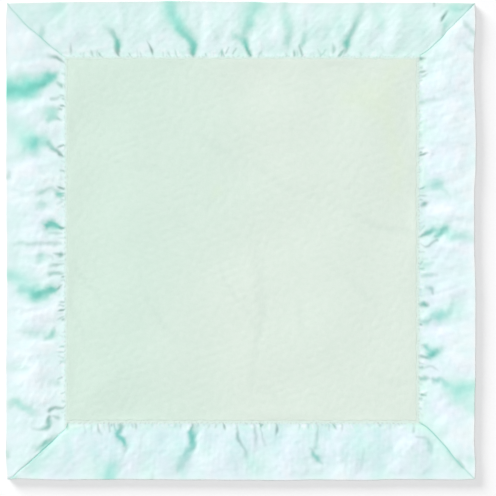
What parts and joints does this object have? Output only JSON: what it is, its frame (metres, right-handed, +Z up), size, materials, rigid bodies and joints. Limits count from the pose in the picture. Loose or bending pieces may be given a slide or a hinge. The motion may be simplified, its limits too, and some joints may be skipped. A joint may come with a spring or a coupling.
{
  "type": "comfort blanket",
  "caption": "Small square comfort blanket: two soft plush panels bound all round in wide folded satin with mitred corners, lying flat.",
  "frame": {"origin": "middle of the blanket's outline, on the surface that it lies on", "axes": "+Z up out of the front of the blanket as it lies on its back, +Y towards the top edge along the slightly longer side, +X to the right"},
  "size_m": [0.404, 0.411, 0.0102],
  "materials": {
    "plush": "short-pile plush, pale sage mint, matt",
    "satin": "glossy woven satin, pale ice aqua that turns turquoise in its folds",
    "thread": "fine twisted sewing thread, pale mint"
  },
  "bodies": {
    "root": {"front_panel": "plush", "back_panel": "plush", "trim_top": "satin", "trim_bottom": "satin", "trim_left": "satin", "trim_right": "satin", "mitre_stitching_top_left": "thread", "mitre_stitching_top_right": "thread", "mitre_stitching_bottom_left": "thread", "mitre_stitching_bottom_right": "thread", "topstitch_needle_thread": "thread", "topstitch_bobbin_thread": "thread"}
  },
  "joints": []
}
